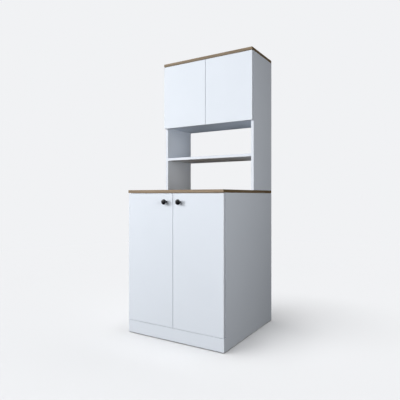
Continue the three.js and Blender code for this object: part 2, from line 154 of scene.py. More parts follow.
# %% [markdown]
# ## The studio floor and backdrop
# The photograph shows the cabinet on a seamless pale ground, with only a soft shadow beside it. A
# curved sweep would do this, as in a studio. A wide flat floor is simpler: near the cabinet it
# takes light and shadow, and further out it fades into the backdrop's colour, so no horizon shows.
# To bounced light the floor is darker than to the camera, so that little light comes back up. The
# white doors throw light onto the ground before them, which the photograph doesn't show, so the
# floor is a touch darker in a wide round patch there.

# %% Make the floor
BACKDROP = (0.879, 0.888, 0.905)
FLOOR_SEEN = (0.6, 0.606, 0.618)
FLOOR_BOUNCE = (0.02, 0.02, 0.021)
FLOOR_HALF = 30
FADE_START = 2.2
FADE_END = 5.0
PATCH_MIDDLE = (-0.03, -0.61, 0)
PATCH_REACH = (0.59, 0.34, 1)
PATCH_DEPTH = 0.11

floor_shape = bmesh.new()
bmesh.ops.create_grid(floor_shape, x_segments=1, y_segments=1, size=FLOOR_HALF)
floor_mesh = bpy.data.meshes.new("floor")
floor_shape.to_mesh(floor_mesh)
floor_shape.free()
floor = bpy.data.objects.new("floor", floor_mesh)
scene.collection.objects.link(floor)

floor_material = bpy.data.materials.new("studio_floor")
floor_material.use_nodes = True
tree = floor_material.node_tree
tree.nodes.clear()
ray = place_node(tree, "ShaderNodeLightPath").outputs
ground = place_node(tree, "ShaderNodeTexCoord").outputs["Object"]
from_middle = work_out_vector(tree, "SUBTRACT", ground, PATCH_MIDDLE)["Vector"]
spread = work_out_vector(tree, "DIVIDE", from_middle, PATCH_REACH)["Vector"]
square = work_out_vector(tree, "DOT_PRODUCT", spread, spread)["Value"]
patch = work_out(tree, "DIVIDE", PATCH_DEPTH, work_out(tree, "ADD", square, 1))
seen = blend_colors(tree, ray["Is Camera Ray"], FLOOR_BOUNCE, FLOOR_SEEN)
evened = blend_colors(tree, patch, seen, (0, 0, 0))
matt = place_node(tree, "ShaderNodeBsdfDiffuse", {"Color": evened})
glow = place_node(tree, "ShaderNodeEmission", {"Color": BACKDROP, "Strength": 1})
reach = work_out_vector(tree, "LENGTH", ground)["Value"]
fade = narrow_value(tree, reach, FADE_START, FADE_END, "SMOOTHSTEP")
far = work_out(tree, "MULTIPLY", fade, ray["Is Camera Ray"])
melt = blend_shaders(tree, far, matt, glow)
place_node(tree, "ShaderNodeOutputMaterial", {"Surface": melt})
floor_mesh.materials.append(floor_material)
print("The floor fades out between", FADE_START, "and", FADE_END, "m")

# %% [markdown]
# ## The world
# Behind everything is one pale backdrop colour. As a light it would be far too strong and even, so
# only the camera, reflections and clear plastic see it. Matt surfaces get just a breath of light
# from above, as from a studio's ceiling, which keeps the deepest corners from going black.

# %% Make the world
CEILING_LIGHT = 0.03

world = bpy.data.worlds.new("studio")
scene.world = world
world.use_nodes = True
tree = world.node_tree
tree.nodes.clear()
direction = place_node(tree, "ShaderNodeTexCoord").outputs["Generated"]
upward = work_out_vector(tree, "DOT_PRODUCT", direction, (0, 0, CEILING_LIGHT))["Value"]
upper_half = work_out(tree, "MAXIMUM", upward, 0)
soft_light = place_node(tree, "ShaderNodeBackground", {"Color": (1, 1, 1), "Strength": upper_half})
backdrop = place_node(tree, "ShaderNodeBackground", {"Color": BACKDROP, "Strength": 1})
ray = place_node(tree, "ShaderNodeLightPath").outputs
sees = ray["Is Camera Ray"]
for kind in ("Is Glossy Ray", "Is Transmission Ray"):
    sees = work_out(tree, "MAXIMUM", sees, ray[kind])
choice = blend_shaders(tree, sees, soft_light, backdrop)
place_node(tree, "ShaderNodeOutputWorld", {"Surface": choice})
print("The ceiling gives a strength of", CEILING_LIGHT)

# %% [markdown]
# ## The lamps
# The front is bright, the right side is a calm grey, and the shadow on the ground is small and pale.
# One set of lamps can't give all three at once, so the work is split: round softboxes light the
# cabinet, and broad lamps overhead light the ground. Blender's light linking keeps each from
# reaching the other's subject. One ground lamp throws no shadow, so it thins the others' shadow.
# The small lamp behind leaves no glare on the boards, so that none shows from the front.

# %% Helpers for lamps
LAMP_AIM = Vector((0, 0, 0.9))
lit_floor = bpy.data.collections.new("only_floor")
lit_floor.objects.link(floor)
spared_floor = bpy.data.collections.new("all_but_floor")
spared_floor.objects.link(floor)


def hang_lamp(lamp, toward, receivers):
    """Hangs a lamp that shines from the given direction, on what the collection says."""
    holder = bpy.data.objects.new(lamp.name, lamp)
    holder.rotation_euler = toward.to_track_quat("Z", "Y").to_euler()
    scene.collection.objects.link(holder)
    holder.light_linking.receiver_collection = receivers
    return holder


def add_softbox(lamp_name, place, size, power):
    """A round softbox that lights everything but the floor."""
    lamp = bpy.data.lights.new(lamp_name, "AREA")
    lamp.shape = "DISK"
    lamp.size = size
    lamp.energy = power
    hang_lamp(lamp, Vector(place) - LAMP_AIM, spared_floor).location = place


def add_ground_lamp(lamp_name, toward, angle, strength):
    """A far lamp that lights only the floor, from the given angle of the sky."""
    lamp = bpy.data.lights.new(lamp_name, "SUN")
    lamp.angle = math.radians(angle)
    lamp.energy = strength * math.pi
    hang_lamp(lamp, Vector(toward), lit_floor)


print("The softboxes aim at", tuple(LAMP_AIM))

# %% Hang the lamps
SOFTBOXES = {
    "key_softbox": ((-3.4, -3.6, 2.2), 2.2, 176.0),
    "front_softbox": ((-0.3, -5.0, 2.5), 3.0, 114.0),
    "right_softbox": ((2.6, -0.9, 1.5), 1.0, 12.8),
    "right_low_softbox": ((2.5, -1.5, 0.8), 1.0, 16.0),
    "back_softbox": ((-1.2, 4.2, 1.45), 0.5, 60.0),
}
GROUND_LAMPS = {
    "ground_lamp_over": ((0, 0, 1), 27, 0.7),
    "ground_lamp_left": ((-0.25, -0.17, 0.95), 30, 0.58),
    "ground_lamp_fill": ((0, 0, 1), 10, 0.19),
}
for lamp_name, (place, size, power) in SOFTBOXES.items():
    add_softbox(lamp_name, place, size, power)
for lamp_name, (toward, angle, strength) in GROUND_LAMPS.items():
    add_ground_lamp(lamp_name, toward, angle, strength)
spared_floor.collection_objects[0].light_linking.link_state = "EXCLUDE"
bpy.data.objects["back_softbox"].visible_glossy = False
bpy.data.lights["ground_lamp_fill"].use_shadow = False
print("Lamps:", len(SOFTBOXES), "softboxes and", len(GROUND_LAMPS), "ground lamps")

# %% [markdown]
# ## Two shared patterns
# Coated board, plastic and metal all have a surface that is never quite even: a fine relief from
# the press or the mould, and a slow drift of tone over a hand's width. Both come from one node
# group, which each material uses with its own sizes. Wood grain is a second group, because the
# broad faces and the end bands of the oak boards use it in different directions.


# %% Group: uneven surface
def new_pattern(name, scales, values):
    """An empty node group with a place and scales as its inputs and values as its outputs."""
    group = bpy.data.node_groups.new(name, "ShaderNodeTree")
    group.interface.new_socket("Place", in_out="INPUT", socket_type="NodeSocketVector")
    for label, scale in scales.items():
        socket = group.interface.new_socket(label, in_out="INPUT", socket_type="NodeSocketFloat")
        socket.default_value = scale
    for label in values:
        group.interface.new_socket(label, in_out="OUTPUT", socket_type="NodeSocketFloat")
    given = group.nodes.new("NodeGroupInput").outputs
    return group, given, group.nodes.new("NodeGroupOutput").inputs


SMUDGE_FINENESS = 5
SMUDGE_SPAN = (0.42, 0.68)
uneven, given, result = new_pattern(
    "uneven_surface",
    {"Relief Scale": 1000.0, "Drift Scale": 6.0},
    ("Relief", "Drift", "Smudges"),
)
place = given["Place"]
relief = add_noise(uneven, place, Scale=given["Relief Scale"], Detail=2, Roughness=0.55)
drift = add_noise(uneven, place, Scale=given["Drift Scale"], Detail=3, Roughness=0.5)
finer = work_out(uneven, "MULTIPLY", given["Drift Scale"], SMUDGE_FINENESS)
smudge = add_noise(uneven, place, Scale=finer, Detail=4, Roughness=0.6, Distortion=0.8)
feed(uneven, result["Relief"], relief)
feed(uneven, result["Drift"], drift)
feed(uneven, result["Smudges"], narrow_value(uneven, smudge, *SMUDGE_SPAN))
print("Group", uneven.name, "puts out", result.keys()[:-1])

# %% Group: wood grain
GRAIN_LAYERS = {
    "Figure": ((0.35, 5.0, 5.0), {"Scale": 3.0, "Detail": 4.0, "Distortion": 1.6}, (0.3, 0.7)),
    "Streaks": ((0.02, 1.0, 1.0), {"Scale": 260.0, "Detail": 3.0, "Distortion": 0.2}, (0.3, 0.72)),
    "Pores": ((0.03, 1.0, 1.0), {"Scale": 900.0, "Detail": 1.0, "Distortion": 0.0}, (0.6, 0.7)),
}
grain, given, result = new_pattern("wood_grain", {}, GRAIN_LAYERS)
for layer, (squeeze, inputs, contrast) in GRAIN_LAYERS.items():
    along = place_node(grain, "ShaderNodeMapping", {"Vector": given["Place"], "Scale": squeeze})
    noise = add_noise(grain, along.outputs["Vector"], **inputs)
    feed(grain, result[layer], narrow_value(grain, noise, *contrast))
print("Group", grain.name, "puts out", list(GRAIN_LAYERS))

# %% [markdown]
# ## White coated board
# The cabinet's white boards are chipboard with a pressed-on melamine film. Its face is satin, with
# a pearl texture finer than a millimetre. The front and side edges carry a glued plastic band of
# nearly the same white, a touch smoother, and the join shows as a hairline of glue. Plain colours
# would do from far away, but up close these three together are what makes it read as board.


# %% Helpers for finishes
def new_material(name, fixed=None):
    """A material with its tree and its Principled shader, on which the fixed values are set."""
    material = bpy.data.materials.new(name)
    material.use_nodes = True
    tree = material.node_tree
    shader = tree.nodes["Principled BSDF"]
    for label, value in (fixed or {}).items():
        shader.inputs[label].default_value = value
    return material, tree, shader


def dress(tree, shader, color, roughness, height, depth):
    """Feeds a shader its colour, its roughness and a relief whose depth is in metres."""
    feed(tree, shader.inputs["Base Color"], color)
    feed(tree, shader.inputs["Roughness"], roughness)
    bump = place_node(tree, "ShaderNodeBump", {"Height": height, "Strength": 1, "Distance": depth})
    feed(tree, shader.inputs["Normal"], bump.outputs["Normal"])


def place_pattern(tree, group, scales, offset=(0, 0, 0), angle=0):
    """A shared pattern on Object coordinates, moved and turned about Z by a Mapping node."""
    coordinates = place_node(tree, "ShaderNodeTexCoord").outputs["Object"]
    turned = (0, 0, math.radians(angle))
    moved = {"Vector": coordinates, "Location": offset, "Rotation": turned}
    mapping = place_node(tree, "ShaderNodeMapping", moved)
    inputs = {"Place": mapping.outputs["Vector"], **scales}
    return place_node(tree, "ShaderNodeGroup", inputs, node_tree=group).outputs


def coated(name, tones, roughness, sizes, depth, fixed=None):
    """An even, moulded or coated surface: two near tones, a range of roughness and a relief."""
    material, tree, shader = new_material(name, fixed)
    scales = {"Relief Scale": sizes[0], "Drift Scale": sizes[1]}
    pattern = place_pattern(tree, uneven, scales)
    color = blend_colors(tree, pattern["Drift"], *tones)
    shine = stretch_value(tree, pattern["Smudges"], *roughness)
    dress(tree, shader, color, shine, pattern["Relief"], depth)
    return material


print("Made the helpers for coated finishes")

# %% Materials for white board
BOARD_GLOSS = {"Specular IOR Level": 0.06}
white_face = coated(
    "white_melamine",
    tones=((0.755, 0.806, 0.876), (0.785, 0.836, 0.906)),
    roughness=(0.45, 0.55),
    sizes=(1100, 5),
    depth=0.006 * MM,
    fixed=BOARD_GLOSS,
)
white_band = coated(
    "white_edge_band",
    tones=((0.75, 0.798, 0.868), (0.77, 0.818, 0.888)),
    roughness=(0.4, 0.48),
    sizes=(500, 9),
    depth=0.003 * MM,
    fixed=BOARD_GLOSS,
)
glue_line = coated(
    "glue_line",
    tones=((0.5, 0.5, 0.48), (0.6, 0.6, 0.58)),
    roughness=(0.45, 0.6),
    sizes=(2000, 30),
    depth=0.01 * MM,
)
print("White board has", white_face.name, white_band.name, "and", glue_line.name)

# %% [markdown]
# ## Chipboard and hardboard
# Where a board is drilled, grooved or left unbanded at the back, its core shows: pressed wood
# flakes in tan and brown. The cupboard's back is thin hardboard, lacquered white inside and bare
# brown outside, with the print of the press screen. Flakes are Voronoi cells, each in its own
# tone. Hardboard is cloudy with dark flecks of fibre, and its screen is two crossed waves.

# %% Material for the boards' core
FLAKE_BROWNS = ((0.2, 0.12, 0.06), (0.56, 0.42, 0.27))
DUST_BROWN = (0.44, 0.33, 0.21)
FLAKE_SQUEEZE = (1.0, 0.6, 0.8)
FLAKE_DEPTH = 0.2 * MM
CORE_ROUGHNESS = (0.75, 0.95)

bare_core, tree, shader = new_material("chipboard_core")
place = place_node(tree, "ShaderNodeTexCoord").outputs["Object"]
warp = place_node(tree, "ShaderNodeMapping", {"Vector": place, "Scale": FLAKE_SQUEEZE})
cells = {"Vector": warp.outputs["Vector"], "Scale": 420.0, "Randomness": 1.0}
flakes = place_node(tree, "ShaderNodeTexVoronoi", cells).outputs
tone = place_node(tree, "ShaderNodeSeparateColor", {"Color": flakes["Color"]}).outputs
wood = blend_colors(tree, tone["Red"], *FLAKE_BROWNS)
dust = add_noise(tree, place, Scale=1500, Detail=3)
mixed = blend_colors(tree, dust, wood, DUST_BROWN)
shine = stretch_value(tree, tone["Green"], *CORE_ROUGHNESS)
dress(tree, shader, mixed, shine, flakes["Distance"], FLAKE_DEPTH)
print("The core is", bare_core.name)

# %% Materials for the back panel
BOARD_BROWNS = ((0.19, 0.11, 0.06), (0.31, 0.2, 0.12))
FLECK_BROWN = (0.11, 0.06, 0.032)
CLOUD_SPAN = (0.35, 0.65)
FLECK_SPAN = (0.55, 0.7)
SCREEN_DEPTH = 0.15 * MM
FIBRE_ROUGHNESS = (0.7, 0.9)

panel_back, tree, shader = new_material("bare_hardboard")
place = place_node(tree, "ShaderNodeTexCoord").outputs["Object"]
cloud = add_noise(tree, place, Scale=9, Detail=5)
fibre = add_noise(tree, place, Scale=160, Detail=4)
brown = blend_colors(tree, narrow_value(tree, cloud, *CLOUD_SPAN), *BOARD_BROWNS)
flecked = blend_colors(tree, narrow_value(tree, fibre, *FLECK_SPAN), brown, FLECK_BROWN)
waves = {"Vector": place, "Scale": 150.0, "Distortion": 0.4}
threads = [
    place_node(tree, "ShaderNodeTexWave", waves, bands_direction=axis).outputs["Fac"]
    for axis in ("X", "Z")
]
screen = work_out(tree, "MAXIMUM", *threads)
shine = stretch_value(tree, fibre, *FIBRE_ROUGHNESS)
dress(tree, shader, flecked, shine, screen, SCREEN_DEPTH)
panel_face = coated(
    "lacquered_hardboard",
    tones=((0.74, 0.745, 0.74), (0.79, 0.795, 0.79)),
    roughness=(0.5, 0.62),
    sizes=(350, 7),
    depth=0.015 * MM,
)
print("The panel has", panel_face.name, "inside and", panel_back.name, "outside")

# %% [markdown]
# ## Oak decor
# The worktop and the top board carry a printed oak decor in a pale greyed brown. On the faces and
# the front edge the grain runs the long way. The end bands are cut from a roll, so their grain
# runs from front to back. Three layers make it: broad figure, long streaks and short dark pores.
# The end bands and the top board's front band are darkened by painted shade, most of all at the
# ends, standing in for the shade on them.

# %% Materials for oak
OAK_GLOSS = {"Specular IOR Level": 0.05}
OAK_TONES = {
    "light": (0.445, 0.352, 0.252),
    "dark": (0.3, 0.228, 0.158),
    "streak": (0.165, 0.12, 0.08),
    "pore": (0.085, 0.06, 0.042),
}
LAYER_STRENGTH = 0.55
PORE_DEPTH = -0.03 * MM
OAK_ROUGHNESS = (0.52, 0.66)
# Painted shade: these two factors darken the end bands and the top board's front band, standing in
# for shade that falls on them.
END_PAINTED_SHADE = (0.57, 0.51, 0.4)
TOP_PAINTED_SHADE = (0.83, 0.84, 0.84)


def oak_decor(name, offset, angle=0, painted_shade=(1, 1, 1)):
    """Printed oak with its grain along X until it is turned, darkened by a painted shade."""
    material, tree, shader = new_material(name, OAK_GLOSS)
    pattern = place_pattern(tree, grain, {}, offset, angle)
    # Each tone is darkened here by the painted shade.
    tones = {
        label: tuple(value * part for value, part in zip(tone, painted_shade))
        for label, tone in OAK_TONES.items()
    }
    color = blend_colors(tree, pattern["Figure"], tones["light"], tones["dark"])
    for layer, label in (("Streaks", "streak"), ("Pores", "pore")):
        mask = stretch_value(tree, pattern[layer], 0, LAYER_STRENGTH)
        color = blend_colors(tree, mask, color, tones[label])
    shine = stretch_value(tree, pattern["Streaks"], *OAK_ROUGHNESS)
    dress(tree, shader, color, shine, pattern["Pores"], PORE_DEPTH)
    return material


oak_face = oak_decor("oak_decor", offset=(0, 0, 0))
oak_front_band = oak_decor("oak_front_band", offset=(0.31, 0.07, 0.02))
# The end band and the top band below carry painted shade.
oak_end_band_painted_shade = oak_decor("oak_end_band_painted_shade", (0.11, 0.23, 0.05), angle=90, painted_shade=END_PAINTED_SHADE)
oak_top_band_painted_shade = oak_decor("oak_top_band_painted_shade", (0.17, 0.13, 0.08), painted_shade=TOP_PAINTED_SHADE)
print("Oak:", oak_face.name, oak_front_band.name, oak_end_band_painted_shade.name, oak_top_band_painted_shade.name)

# %% [markdown]
# ## Boards
# A board from the saw has sharp edges. The banded ones are then rounded by a scraper, and the glue
# line shows one band's thickness away from them. A Bevel modifier would round every edge, the bare
# ones and the drilled holes too. So a merged copy of the CAD board is worked directly: bevel picks
# the banded edges, bisect_plane draws the glue line, and each face gets the material of its place.

# %% Helpers for pieces
WELD = 1e-6
FLAT_ANGLE = math.radians(0.5)
SMOOTH_LIMIT = math.cos(math.radians(38))


def copy_of(node):
    """A merged copy of a CAD node's mesh, with its flat faces made whole again."""
    shape = bmesh.new()
    shape.from_mesh(nodes[node].data)
    bmesh.ops.remove_doubles(shape, verts=shape.verts, dist=WELD)
    bmesh.ops.dissolve_limit(shape, angle_limit=FLAT_ANGLE, verts=shape.verts, edges=shape.edges)
    return shape


def measure(node):
    """The low corner, the high corner and the middle of a CAD node's box."""
    low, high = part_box(node)
    return low, high, (low + high) / 2


def weigh_normals(mesh):
    """Smooth shading that leans to the larger faces, so that a flat one stays flat to its edge."""
    mesh.shade_smooth()
    around = [[] for _ in mesh.vertices]
    for face in mesh.polygons:
        for corner in face.vertices:
            around[corner].append(face)
    normals = []
    for face in mesh.polygons:
        for corner in face.vertices:
            lean = Vector((0, 0, 0))
            for other in around[corner]:
                if other.normal.dot(face.normal) > SMOOTH_LIMIT:
                    lean += other.normal * other.area
            normals.append(lean.normalized())
    mesh.normals_split_custom_set(normals)


def finish_piece(shape, node, body, materials):
    """Turns a shape into the piece that stands for a CAD node and rides on its body."""
    name = node + "_finished"
    mesh = bpy.data.meshes.new(name)
    shape.to_mesh(mesh)
    shape.free()
    for material in materials:
        mesh.materials.append(material)
    weigh_normals(mesh)
    piece = bpy.data.objects.new(name, mesh)
    scene.collection.objects.link(piece)
    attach(piece, body)
    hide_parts(node)


print("Made the helpers that copy and finish a piece")


# %% Helpers for edges
def round_edges(shape, edges, radius, steps=2):
    """Rounds the given edges."""
    bmesh.ops.bevel(
        shape,
        geom=edges,
        offset=radius,
        offset_type="OFFSET",
        segments=steps,
        profile=0.5,
        affect="EDGES",
        material=-1,
        clamp_overlap=True,
    )


def cut_across(shape, axis, place):
    """Draws new edges where a shape crosses a place on an axis."""
    normal = Vector((0, 0, 0))
    normal[axis] = 1
    whole = shape.verts[:] + shape.edges[:] + shape.faces[:]
    bmesh.ops.bisect_plane(shape, geom=whole, dist=WELD, plane_co=normal * place, plane_no=normal)


print("Made the helpers that round and draw edges")

# %% The board maker
X, Y, Z = 0, 1, 2
BAND = 1.0 * MM
GLUE = 0.12 * MM
BAND_ROUND = 0.45 * MM
ON_PLANE = 1e-5


def planes_of(node):
    """The six outer planes of a board as {"-x": (axis, place, way), ...}."""
    low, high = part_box(node)
    planes = {}
    for axis, letter in enumerate("xyz"):
        planes["-" + letter] = (axis, low[axis], -1)
        planes["+" + letter] = (axis, high[axis], 1)
    return planes


def depth_under(point, plane):
    """How far a point lies inside an outer plane."""
    axis, place, way = plane
    return (place - point[axis]) * way


def lies_on(edge, plane):
    """Whether both ends of an edge lie on an outer plane."""
    return all(abs(depth_under(corner.co, plane)) < ON_PLANE for corner in edge.verts)


def finish_board(node, body, banded, materials, face_axis):
    """A board with banded edges. materials holds face, core, glue and a band for each plane."""
    shape = copy_of(node)
    planes = planes_of(node)
    rounded = []
    for edge in shape.edges:
        keys = [key for key in planes if lies_on(edge, planes[key])]
        if len(keys) == 2 and any(key in banded for key in keys):
            rounded.append(edge)
    round_edges(shape, rounded, BAND_ROUND)
    for key in banded:
        axis, place, way = planes[key]
        for inset in (BAND, BAND + GLUE):
            cut_across(shape, axis, place - way * inset)

    shape.normal_update()
    kinds = list(dict.fromkeys(materials.values()))
    for face in shape.faces:
        centre = face.calc_center_median()
        depths = {key: depth_under(centre, plane) for key, plane in planes.items()}
        inset, key = min((depths[key], key) for key in banded)
        on_face = any(depths[key] < BAND_ROUND for key in planes if planes[key][0] == face_axis)
        if min(depths.values()) > BAND_ROUND:
            kind = "core"
        elif inset < BAND:
            kind = key
        elif not on_face:
            kind = "core"
        elif inset < BAND + GLUE:
            kind = "glue"
        else:
            kind = "face"
        face.material_index = kinds.index(materials[kind])
    finish_piece(shape, node, body, kinds)


print("A band is", BAND / MM, "mm thick")

# %% [markdown]
# ## Which edges are banded
# A cabinet maker bands only what shows. Sides, shelves and rails get a band on the front edge,
# doors and the plinth all round, and the oak boards at the front and both ends. The backs stay
# bare. It could be decided board by board. Small tables say it all at a glance, and a short loop
# makes each kind.

# %% Make the boards
ALL_ROUND_Y = ("-x", "+x", "-z", "+z")
WHITE_BOARDS = {
    "lower_side_left": (("-y",), X),
    "lower_side_right": (("-y",), X),
    "hutch_side_left": (("-y",), X),
    "hutch_side_right": (("-y",), X),
    "front_rail": (("-y",), Z),
    "cupboard_floor": (("-y",), Z),
    "cupboard_shelf": (("-y",), Z),
    "niche_shelf": (("-y",), Z),
    "back_rail_upper": (("-z",), Y),
    "back_rail_lower": (("+z",), Y),
    "plinth_board": (ALL_ROUND_Y, Y),
}
white_set = {"face": white_face, "core": bare_core, "glue": glue_line}
white_set.update(dict.fromkeys(("-x", "+x", "-y", "-z", "+z"), white_band))
for node, (banded, face_axis) in WHITE_BOARDS.items():
    finish_board(node, "carcass", banded, white_set, face_axis)

OAK_BOARDS = {"worktop": oak_front_band, "hutch_top": oak_top_band_painted_shade}
oak_set = {"face": oak_face, "core": bare_core, "glue": oak_face}
oak_set.update({"-x": oak_end_band_painted_shade, "+x": oak_end_band_painted_shade})
for node, front_band in OAK_BOARDS.items():
    oak_set["-y"] = front_band
    finish_board(node, "carcass", ("-y", "-x", "+x"), oak_set, Z)

DOORS = [(row, hand) for row in ("lower", "upper") for hand in ("left", "right")]
for row, hand in DOORS:
    body = f"{row}_{hand}_door"
    finish_board(f"{row}_door_{hand}", body, ALL_ROUND_Y, white_set, Y)
print("Boards made:", len(WHITE_BOARDS) + len(OAK_BOARDS) + len(DOORS))

# %% [markdown]
# ## The cupboard's back
# The thin panel slides into grooves in the sides, the floor and the top board. Its inner face is
# lacquered and its outer face is bare, so a copy of it needs only two materials, chosen by the way
# each face looks.

# %% Make the back panel
panel = copy_of("cupboard_back")
for face in panel.faces:
    face.material_index = 0 if round(face.normal.y) == -1 else 1
finish_piece(panel, "cupboard_back", "carcass", [panel_face, panel_back])
print("The back panel has 2 finishes")

# %% [markdown]
# ## Plastic and metal
# The fittings are small, so their finish must hold up close. The knobs are satin black plastic,
# the glides and plinth clips grey polyamide, and the hinges stamped steel with a thin bright
# nickel coat. The bumpers are clear soft plastic. All use the same uneven surface with their own
# tones and sizes. The black, the metal and the clear plastic need one more fixed value each.

# %% Materials for the fittings
black_satin = coated(
    "black_satin_plastic",
    tones=((0.003, 0.003, 0.004), (0.006, 0.006, 0.008)),
    roughness=(0.2, 0.28),
    sizes=(1600, 40),
    depth=0.004 * MM,
    fixed={"Specular IOR Level": 0.13},
)
grey_moulded = coated(
    "grey_moulded_plastic",
    tones=((0.2, 0.205, 0.21), (0.25, 0.255, 0.26)),
    roughness=(0.45, 0.6),
    sizes=(900, 60),
    depth=0.02 * MM,
)
nickel = coated(
    "nickel_coat",
    tones=((0.63, 0.62, 0.595), (0.68, 0.67, 0.645)),
    roughness=(0.24, 0.3),
    sizes=(500, 30),
    depth=0.002 * MM,
    fixed={"Metallic": 1},
)
clear_soft = coated(
    "clear_soft_plastic",
    tones=((0.8, 0.82, 0.83), (0.86, 0.87, 0.875)),
    roughness=(0.1, 0.22),
    sizes=(600, 80),
    depth=0.008 * MM,
    fixed={"Alpha": 0.6},
)
print("Fittings use", black_satin.name, grey_moulded.name, nickel.name, clear_soft.name)

# %% [markdown]
# ## Turned shapes and screws
# Knobs, pins, glides and cups are round, so each starts as half an outline that is spun about Z
# and then laid in its place. A screw head is turned too, up to a flat ring. Its cross recess starts
# as a grid of nine squares without its corners, is pushed down, and is bridged to the ring.

# %% Helpers for turned shapes
ROD_STEPS = 16


def turn(outline, steps):
    """A new shape from an outline of (radius, height) pairs, turned about Z."""
    shape = bmesh.new()
    corners = [shape.verts.new((radius, 0, height)) for radius, height in outline]
    sides = [shape.edges.new(pair) for pair in zip(corners, corners[1:])]
    bmesh.ops.spin(
        shape,
        geom=corners + sides,
        cent=(0, 0, 0),
        axis=(0, 0, 1),
        dvec=(0, 0, 0),
        angle=math.tau,
        steps=steps,
        use_merge=True,
        use_duplicate=False,
    )
    bmesh.ops.remove_doubles(shape, verts=shape.verts, dist=WELD)
    return shape


def rod(radius, low, high):
    """A turned rod between two heights."""
    return turn(((0, low), (radius, low), (radius, high), (0, high)), ROD_STEPS)


def arc(middle, reach, start, end, steps):
    """The points of an arc about a middle, between two angles in degrees."""
    points = []
    for step in range(steps + 1):
        angle = math.radians(start + (end - start) * step / steps)
        across, up = reach[0] * math.cos(angle), reach[1] * math.sin(angle)
        points.append((middle[0] + across, middle[1] + up))
    return points


def round_ring(shape, radius, height, rounding, steps):
    """Rounds the edge of a turned shape that runs round it at a radius and height."""
    ring = [
        edge
        for edge in shape.edges
        if lies_on(edge, (Z, height, 1))
        and all(abs(corner.co.xy.length - radius) < ON_PLANE for corner in edge.verts)
    ]
    round_edges(shape, ring, rounding, steps)


print("A rod has", ROD_STEPS, "sides")

# %% A helper that puts parts together
FACING_FRONT = Matrix.Rotation(math.radians(90), 4, "X")
FACING_BACK = Matrix.Rotation(math.radians(-90), 4, "X")
FACING_LEFT = Matrix.Rotation(math.radians(-90), 4, "Y")
FACING_RIGHT = Matrix.Rotation(math.radians(90), 4, "Y")


def add_part(shape, part, place=Matrix(), index=0):
    """Adds a closed part to a shape at its place, with the material of that index."""
    bmesh.ops.transform(part, matrix=place, verts=part.verts)
    bmesh.ops.recalc_face_normals(part, faces=part.faces)
    for face in part.faces:
        face.material_index = index
    mesh = bpy.data.meshes.new("part")
    part.to_mesh(mesh)
    part.free()
    shape.from_mesh(mesh)
    bpy.data.meshes.remove(mesh)


print("Turned shapes face up, and four turns point them elsewhere")

# %% The screw head
SCREW_STEPS = 20
WALL_SHARE = 0.35
SHOULDER_SHARES = (0.87, 0.78)
RING_SHARE = 0.62
RECESS_REACH_SHARE = 0.5
RECESS_WIDTH_SHARE = 0.3
RECESS_DEPTH_SHARE = 0.6
RECESS_TAPER = 0.7


def draw_out(shape, faces, way):
    """Draws a region of faces out by a way and returns the corners that moved."""
    drawn = bmesh.ops.extrude_face_region(shape, geom=faces)["geom"]
    moved = [item for item in drawn if isinstance(item, bmesh.types.BMVert)]
    bmesh.ops.translate(shape, verts=moved, vec=way)
    return moved


def screw_head(radius, height):
    """A low round head with a cross recess, standing on Z = 0."""
    wall = ((0, 0), (radius, 0), (radius, height * WALL_SHARE))
    shoulder = (radius * SHOULDER_SHARES[0], height * SHOULDER_SHARES[1])
    head = turn((*wall, shoulder, (radius * RING_SHARE, height)), SCREW_STEPS)
    reach = radius * RECESS_REACH_SHARE
    half = reach * RECESS_WIDTH_SHARE
    top = Matrix.Translation((0, 0, height))
    grid = bmesh.ops.create_grid(head, x_segments=3, y_segments=3, size=reach, matrix=top)["verts"]
    for corner in grid:
        for axis in (X, Y):
            if abs(corner.co[axis]) < reach / 2:
                corner.co[axis] = math.copysign(half, corner.co[axis])
    squares = [face for face in head.faces if all(corner in grid for corner in face.verts)]
    cross = [face for face in squares if min(map(abs, face.calc_center_median().xy)) < half]
    outer = [face for face in squares if face not in cross]
    bmesh.ops.delete(head, geom=outer, context="FACES")
    floor_corners = draw_out(head, cross, (0, 0, -height * RECESS_DEPTH_SHARE))
    bmesh.ops.scale(head, vec=(RECESS_TAPER, RECESS_TAPER, 1), verts=floor_corners)
    bmesh.ops.delete(head, geom=cross, context="FACES")
    bmesh.ops.bridge_loops(head, edges=[edge for edge in head.edges if edge.is_boundary])
    return head


sample = screw_head(4 * MM, 2.4 * MM)
open_edges = sum(edge.is_boundary for edge in sample.edges)
print("A screw head has", len(sample.faces), "faces and", open_edges, "open edges")
sample.free()

# %% [markdown]
# ## Knobs
# Each lower door has one round knob. A thin stem widens like a trumpet to a disc with a soft rim
# and a shallow dome, and a long screw through the door holds it. The stem is a quadratic curve and
# the dome a quarter ellipse, so a few numbers say it all. The rim's lower corner is bevelled last.

# %% Make the knobs and their screws
KNOB_STEPS = 64
NECK_RADIUS = 6 * MM
RIM_THICKNESS = 4 * MM
RIM_ROUND = 0.9 * MM
RIM_STEPS = 4
DOME = 2 * MM
CURVE_STEPS = 12
BORE_RADIUS = 2.3 * MM
BORE_DEPTH = 10.3 * MM
SHANK_RADIUS = 2 * MM
SHANK_CHAMFER = 1 * MM
SCREW_RADIUS = 4 * MM
SCREW_HEIGHT = 2.4 * MM


def knob_shape(radius, height):
    """A knob that stands on Z = 0, with a bore for its screw."""
    rim_top = height - DOME
    rim_bottom = rim_top - RIM_THICKNESS
    outline = [(0, BORE_DEPTH), (BORE_RADIUS, BORE_DEPTH), (BORE_RADIUS, 0), (NECK_RADIUS, 0)]
    for step in range(1, CURVE_STEPS + 1):
        part = step / CURVE_STEPS
        outline.append((NECK_RADIUS + (radius - NECK_RADIUS) * part**2, rim_bottom * part))
    outline += arc((0, rim_top), (radius, DOME), 0, 90, CURVE_STEPS)
    outline[-1] = (0, height)
    shape = turn(outline, KNOB_STEPS)
    round_ring(shape, radius, rim_bottom, RIM_ROUND, RIM_STEPS)
    return shape


